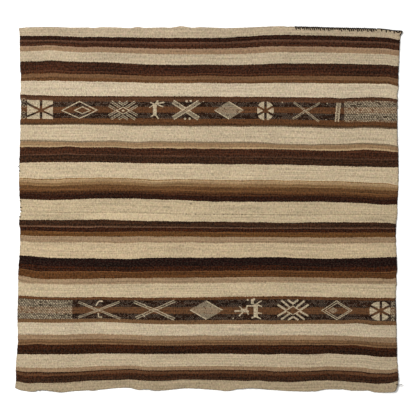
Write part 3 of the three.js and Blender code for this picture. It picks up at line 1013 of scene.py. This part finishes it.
figureLook = {"ovalPower": 2.4, "crossCore": 0.3, "coreFilling": 0.4, "edgeFrom": 0.89}


def drawFigure(tree, place, figure, bandMiddle):
    # Masks of the figure's cream lines, of its hatched filling and of its speckled blocks
    x, y = figure["at"]
    local = (minus(tree, place[0], x), minus(tree, place[1], y + bandMiddle))
    if figure.get("fold"):
        local = (absolute(tree, local[0]), absolute(tree, local[1]))
    cream = filling = block = None
    for strip in figure.get("strips", []):
        cream = either(tree, cream, stripMask(tree, local, strip)[0])
    for x, y, radius in figure.get("dots", []):
        cream = either(tree, cream, filledMask(tree, local, (x, y), (radius, radius), 2))
    for x, y, halfLong, halfWide in figure.get("boxes", []):
        strip = (x - halfLong, y, x + halfLong, y, 2 * halfWide)
        cream = either(tree, cream, stripMask(tree, local, strip)[0])
    for half in figure.get("ovals", []):
        cream = either(tree, cream, filledMask(tree, local, (0, 0), half, figureLook["ovalPower"]))
    for ring in figure.get("rings", []):
        cream = either(tree, cream, ringMask(tree, local, ring))
    for half in figure.get("diamonds", []):
        cream = either(tree, cream, filledMask(tree, local, (0, 0), half))
    for strip in figure.get("outlined", []):
        mask, aside = stripMask(tree, local, strip)
        core = times(tree, mask, lessThan(tree, aside, figure["core"]))
        filling = either(tree, filling, times(tree, core, figureLook["coreFilling"]))
        cream = either(tree, cream, without(tree, mask, core))
    for strip in figure.get("crossed", []):
        mask, aside = stripMask(tree, local, strip)
        core = times(tree, mask, lessThan(tree, aside, figureLook["crossCore"]))
        filling = either(tree, filling, core)
        cream = either(tree, None if cream is None else without(tree, cream, core), without(tree, mask, core))
    for half in figure.get("filled", []):
        reach = diamondReach(tree, local, (0, 0), half)
        inside = lessThan(tree, reach, 1.0)
        filling = either(tree, filling, inside)
        side = moreThan(tree, times(tree, local[0], local[1]), 0.0)
        edge = times(tree, moreThan(tree, reach, figureLook["edgeFrom"]), side)
        cream = either(tree, cream, times(tree, inside, edge))
    for middle, half in figure.get("tinted", []):
        filling = either(tree, filling, filledMask(tree, local, middle, half))
    for ring in figure.get("softRings", []):
        filling = either(tree, filling, ringMask(tree, local, ring))
    for strip in figure.get("speckled", []):
        block = either(tree, block, stripMask(tree, local, strip)[0])
    for strip in figure.get("cuts", []):
        cream = without(tree, cream, stripMask(tree, local, strip)[0])
    return cream, filling, block


# Stains and worn spots, and painted shade of the crease beside the seam at the right end of the lower panel:
# place, size along and across, and strength
stainsAndCreaseShade = {
    "upper": [(-76, 26, 7, 6, 0.45), (-176, 8, 16, 7, 0.16), (-700, 120, 30, 12, 0.10),
              (664, 640, 26, 14, 0.10), (-128, 300, 40, 14, 0.07)],
    # (722, -28), (731, -37) and (782, -44) below are painted shade of the crease beside the seam; (-300,
    # -34), with its negative strength, makes the strip below the seam lighter on the left
    "lower": [(-118, -152, 12, 7, 0.14), (84, -182, 13, 7, 0.14), (722, -28, 62, 13, 0.13),
              (731, -37, 11, 4, 0.2), (782, -44, 14, 12, 0.14), (-300, -34, 260, 22, -0.14),
              (172, -34, 26, 14, 0.06), (398, -34, 36, 14, 0.06), (640, -560, 260, 240, 0.03),
              (-570, -505, 22, 10, 0.10), (420, -640, 30, 12, 0.08)],
}
clothFinish = {
    "figureCream": (203, 186, 155), "dotColour": (138, 123, 107), "hazeColour": (118, 102, 86),
    "streak": 0.70, "dash": 0.66, "grain": 0.36, "speck": 0.52, "mottle": 0.16, "tint": 0.07,
    "darkBoost": 0.048, "darkest": 0.012, "leastTone": 0.35, "stainAndShadeFade": (0.1, 1.4),
    "edgeJitter": 2.2, "figureStep": (2.2, 1.8), "leastMix": 0.06, "speckleMix": 0.5, "shake": (9.0, -6.0),
    "roughness": 0.93, "roughSpan": (0.3, 0.7, -0.06, 0.05), "specular": 0.04, "sheen": 0.02,
    "sheenRoughness": 0.6, "relief": 0.55, "bumpDepth": 0.0012,
}

# Along the edges, in millimetres: cords and dark weft specks at the loom ends, and the darker rim of the hem
edgeFinish = {
    "cordPitch": 5.2, "cordFade": (6, 13), "cordTone": 0.14, "cordRelief": 0.9,
    "specks": 0.42, "specksFrom": 0.54, "specksReach": 5.5, "rim": 0.12, "rimReach": 3.5,
}

# Yarn dots: pitch along and across the warp, half size in pitches, and the share of places filled, where set
patterns = {
    "dots": (7.4, 5.2, 0.30, None), "speckle": (4.4, 3.6, 0.36, 0.93), "pepper": (10.4, 6.4, 0.33, 0.94),
}


def mapPlace(tree, mapName):
    # Metres on the map to millimetres along and across
    uvMap = addNode(tree, "ShaderNodeUVMap", {}, uv_map=mapName)
    split = addNode(tree, "ShaderNodeSeparateXYZ", {"Vector": uvMap.outputs[0]})
    return tuple(times(tree, split.outputs[axis], 1000.0) for axis in ("X", "Y"))


# Painted shade in the dents of the seam stitches: two to a stitch, deep in the middle of the seam and faint
# elsewhere, and a painted highlight on a small bump beside each stitch of the upper panel
stitchDentShading = {
    "second": 16, "reach": (4.6, 3.4), "secondReach": (3.22, 2.72), "secondShare": 0.55, "fade": (0.15, 1.3),
    "deep": 0.5, "faint": 0.14, "middle": 40, "halfReach": (112, 165), "litBumpAt": (-6, 9),
    "litBumpReach": (6.5, 5), "bump": 0.13,
}


def dentRow(tree, x, fromSeam, phase, reach):
    # 1 in each dent of a row that repeats with the stitches, 0 between
    pitch = seamSewing["pitch"]
    beat = over(tree, minus(tree, x, phase), pitch)
    beat = minus(tree, beat, mathNode(tree, "ROUND", beat))
    offX = toPower(tree, absolute(tree, times(tree, beat, pitch / reach[0])), 2.0)
    offY = toPower(tree, absolute(tree, over(tree, fromSeam, reach[1])), 2.0)
    return mapRange(tree, plus(tree, offX, offY), *stitchDentShading["fade"], 1.0, 0.0, True)


def seamDentShading(tree, tone, x, fromSeam, up):
    # Darkens the tone in each stitch dent as painted shade
    away = absolute(tree, minus(tree, x, stitchDentShading["middle"]))
    low, high = stitchDentShading["halfReach"]
    depth = mapRange(tree, away, low, high, stitchDentShading["deep"], stitchDentShading["faint"], True)
    phase = seamSewing["phase"]
    tone = minus(tree, tone, times(tree, depth, dentRow(tree, x, fromSeam, phase, stitchDentShading["reach"])))
    second = dentRow(tree, x, fromSeam, phase + stitchDentShading["second"], stitchDentShading["secondReach"])
    tone = minus(tree, tone, times(tree, times(tree, depth, second), stitchDentShading["secondShare"]))
    if up < 0:
        return tone
    # On the upper panel, lighten a small bump up and to the left of each dent as a painted highlight
    overSeam = minus(tree, fromSeam, stitchDentShading["litBumpAt"][1])
    bump = dentRow(tree, x, overSeam, phase + stitchDentShading["litBumpAt"][0], stitchDentShading["litBumpReach"])
    return timesPlus(tree, times(tree, depth, bump), stitchDentShading["bump"] / stitchDentShading["deep"], tone)


def clothMaterial(name, panel, top, stripes, figures, bandMiddle, spots):
    material = bpy.data.materials.new(name)
    material.use_nodes = True
    tree = material.node_tree
    shader = tree.nodes["Principled BSDF"]
    shader.inputs["Specular IOR Level"].default_value = clothFinish["specular"]
    shader.inputs["Sheen Weight"].default_value = clothFinish["sheen"]
    shader.inputs["Sheen Roughness"].default_value = clothFinish["sheenRoughness"]
    place = mapPlace(tree, "clothMap")
    edges = mapPlace(tree, "edgeMap")
    # Figures are stepped as woven ones are
    stepped = tuple(mathNode(tree, "SNAP", place[axis], clothFinish["figureStep"][axis]) for axis in (0, 1))
    creamMask = fillMask = blockMask = None
    for figure in figures:
        cream, filling, block = drawFigure(tree, stepped, figure, bandMiddle)
        creamMask = creamMask if cream is None else either(tree, creamMask, cream)
        fillMask = fillMask if filling is None else either(tree, fillMask, filling)
        blockMask = blockMask if block is None else either(tree, blockMask, block)
    # Stripe edges are combed by the weft, so they waver a little from pick to pick.
    jitter = minus(tree, cloudNode(tree, place, "combing"), 0.5)
    across = timesPlus(tree, jitter, clothFinish["edgeJitter"] * 2, place[1])
    colour, dotShare = paintStripes(tree, across, top, stripes)
    clusters = spread(tree, place, "clusters")
    dots = dotPattern(tree, place, "dots", clusters)
    colour = mixColour(tree, times(tree, dots, dotShare), colour, dyed(clothFinish["dotColour"]))
    figureCream = dyed(clothFinish["figureCream"])
    speckle = dotPattern(tree, place, "speckle")
    speckleShare = timesPlus(tree, speckle, clothFinish["speckleMix"], clothFinish["leastMix"])
    speckled = mixColour(tree, speckleShare, colour, figureCream)
    colour = mixColour(tree, fillMask, colour, speckled)
    shaking = minus(tree, cloudNode(tree, place, "shaking"), 0.5)
    shaken = tuple(timesPlus(tree, shaking, clothFinish["shake"][axis], place[axis]) for axis in (0, 1))
    pepper = dotPattern(tree, shaken, "pepper")
    salt = spread(tree, place, "salt")
    pepperShare = timesPlus(tree, pepper, salt, clothFinish["leastMix"])
    peppered = mixColour(tree, pepperShare, colour, figureCream)
    colour = mixColour(tree, blockMask, colour, peppered)
    picks = spread(tree, place, "picks")
    colour = mixColour(tree, times(tree, creamMask, picks), colour, figureCream)
    made = useGroup(tree, weaveGroup, {"X": place[0], "Y": place[1]})
    colour = ageWool(tree, colour, place, edges, made, spots, panel)
    plug(tree, shader.inputs["Base Color"], colour)
    low, high, lessRough, moreRough = clothFinish["roughSpan"]
    rough = mapRange(tree, made["Grain"], low, high, clothFinish["roughness"] + lessRough,
                     clothFinish["roughness"] + moreRough)
    plug(tree, shader.inputs["Roughness"], rough)
    relief = minus(tree, made["Relief"], headingCords(tree, edges, edgeFinish["cordRelief"]))
    bump = addNode(tree, "ShaderNodeBump", {"Height": relief, "Strength": clothFinish["relief"],
                                            "Distance": clothFinish["bumpDepth"]})
    plug(tree, shader.inputs["Normal"], bump.outputs["Normal"])
    return material


def dotPattern(tree, place, name, clusters=None):
    pitchX, pitchY, size, share = patterns[name]
    return useGroup(tree, dotsGroup, {
        "X": place[0], "Y": place[1], "Pitch X": pitchX, "Pitch Y": pitchY, "Size": size,
        "Share": share if clusters is None else clusters,
    })["Mask"]


def headingCords(tree, edges, strength):
    # The first heavy wefts at each loom end: a dark rim, a pale cord, and so on for a few millimetres
    cord = mathNode(tree, "COSINE", times(tree, edges[0], 2 * math.pi / edgeFinish["cordPitch"]))
    return times(tree, cord, mapRange(tree, edges[0], *edgeFinish["cordFade"], strength, 0.0, True))


def ageWool(tree, colour, place, edges, made, spots, panel):
    # Uneven yarn, which shows more in the dark wool, then mottling, stains with the painted crease shade, and
    # the loom ends' cords
    grey = addNode(tree, "ShaderNodeRGBToBW", {"Color": colour})
    boost = over(tree, clothFinish["darkBoost"], larger(tree, grey.outputs[0], clothFinish["darkest"]))
    boost = plus(tree, boost, 1.0)
    yarn = times(tree, minus(tree, made["Streak"], 0.5), clothFinish["streak"])
    yarn = timesPlus(tree, minus(tree, made["Dash"], 0.5), clothFinish["dash"], yarn)
    yarn = timesPlus(tree, minus(tree, made["Grain"], 0.5), clothFinish["grain"], yarn)
    speck = minus(tree, cloudNode(tree, place, "speck"), 0.5)
    yarn = timesPlus(tree, speck, clothFinish["speck"], yarn)
    tone = larger(tree, timesPlus(tree, yarn, boost, 1.0), clothFinish["leastTone"])
    cloud = minus(tree, cloudNode(tree, place, "mottle"), 0.5)
    tone = timesPlus(tree, cloud, clothFinish["mottle"], tone)
    # Stains, and the painted shade of the crease beside the seam, darken the tone; a negative strength
    # lightens it
    for x, y, halfLong, halfWide, strength in spots:
        away = diamondReach(tree, place, (x, y), (halfLong, halfWide), 2)
        tone = minus(tree, tone, mapRange(tree, away, *clothFinish["stainAndShadeFade"], strength, 0.0, True))
    tone = minus(tree, tone, headingCords(tree, edges, edgeFinish["cordTone"]))
    fromSeam = minus(tree, panel["width"], edges[1])
    # Painted shade in the seam's stitch dents, with a painted highlight beside each stitch on the upper panel
    tone = seamDentShading(tree, tone, place[0], fromSeam, panel["towardsHem"])
    # Dark specks of weft between the warp ends
    weftEnds = moreThan(tree, cloudNode(tree, place, "weftEnds"), edgeFinish["specksFrom"])
    weftReach = mapRange(tree, edges[0], 0, edgeFinish["specksReach"], edgeFinish["specks"], 0.0, True)
    tone = minus(tree, tone, times(tree, weftEnds, weftReach))
    rim = mapRange(tree, edges[1], 0, edgeFinish["rimReach"], edgeFinish["rim"], 0.0, True)
    tone = minus(tree, tone, rim)
    shades = addNode(tree, "ShaderNodeCombineColor", {"Red": tone, "Green": tone, "Blue": tone})
    colour = mixColour(tree, 1.0, colour, shades.outputs[0], "MULTIPLY")
    tint = cloudNode(tree, place, "tint", colour=True)
    colour = mixColour(tree, clothFinish["tint"], colour, tint, "OVERLAY")
    # Woolly haze: pale fibres standing up here and there, which show on the dark wool
    fibres = spread(tree, place, "fibres")
    return mixColour(tree, fibres, colour, dyed(clothFinish["hazeColour"]))


yarnFinish = {
    "darkYarn": {"dark": (14, 8, 6), "light": (44, 27, 19), "twist": 2.6},
    "creamYarn": {"dark": (160, 139, 108), "light": (205, 188, 157), "twist": 2.4},
}
yarnLook = {
    "specular": 0.06, "sheen": 0.02, "fuzzScale": 700.0, "plyShare": 0.22, "shadeSpan": (0.25, 0.85, 0, 1),
    "roughSpan": (0.2, 0.9, 0.95, 0.82), "relief": 0.6, "bumpDepth": 0.0006,
}


def yarnMaterial(name):
    # Two plies twisted together, with a woolly haze
    finish = yarnFinish[name]
    material = bpy.data.materials.new(name)
    material.use_nodes = True
    tree = material.node_tree
    shader = tree.nodes["Principled BSDF"]
    shader.inputs["Specular IOR Level"].default_value = yarnLook["specular"]
    shader.inputs["Sheen Weight"].default_value = yarnLook["sheen"]
    place = addNode(tree, "ShaderNodeTexCoord", {}).outputs["Object"]
    split = addNode(tree, "ShaderNodeSeparateXYZ", {"Vector": place})
    lean = plus(tree, plus(tree, split.outputs["X"], split.outputs["Y"]), split.outputs["Z"])
    ply = mathNode(tree, "SINE", times(tree, lean, 2 * math.pi / (finish["twist"] * mm)))
    fuzz = addNode(tree, "ShaderNodeTexNoise", {
        "Vector": place, "Scale": yarnLook["fuzzScale"], "Detail": 2.0,
    })
    tone = plus(tree, times(tree, ply, yarnLook["plyShare"]), fuzz.outputs["Fac"])
    shade = mapRange(tree, tone, *yarnLook["shadeSpan"])
    colour = mixColour(tree, shade, dyed(finish["dark"]), dyed(finish["light"]))
    plug(tree, shader.inputs["Base Color"], colour)
    plug(tree, shader.inputs["Roughness"], mapRange(tree, tone, *yarnLook["roughSpan"]))
    bump = addNode(tree, "ShaderNodeBump", {"Height": tone, "Strength": yarnLook["relief"],
                                            "Distance": yarnLook["bumpDepth"]})
    plug(tree, shader.inputs["Normal"], bump.outputs["Normal"])
    return material


# Where the stripes start and where the middle of the figure band lies, across the warp
stripesTop = {"upper": 782, "lower": 10}
bandMiddles = {"upper": 415.2, "lower": -419.4}
clothMaterials = {
    "upper_cloth": clothMaterial("upperWool", panels["upper_cloth"], stripesTop["upper"], upperStripes,
                                 upperFigures, bandMiddles["upper"], stainsAndCreaseShade["upper"]),
    "lower_cloth": clothMaterial("lowerWool", panels["lower_cloth"], stripesTop["lower"], lowerStripes,
                                 lowerFigures, bandMiddles["lower"], stainsAndCreaseShade["lower"]),
}
darkYarn = yarnMaterial("darkYarn")
creamYarn = yarnMaterial("creamYarn")
print("materials made")


# Hand each piece over to the frame
for name, panel in panels.items():
    piece = clothPieces[name]
    piece.data.materials.clear()
    piece.data.materials.append(clothMaterials[name])
    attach(piece, "root")
    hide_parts(panel["replaces"])

trimLooks = {
    "overcast_yarn": (darkYarn, "dark_yarn"), "seam_stitches": (creamYarn, "striped_wool"),
    "yarn_ends": (darkYarn, "dark_yarn"),
}
for name, (material, slotName) in trimLooks.items():
    trims[name].data.materials.clear()
    trims[name].data.materials.append(material)
    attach(trims[name], "root")
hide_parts("edge_overcast")

print("pieces handed over")
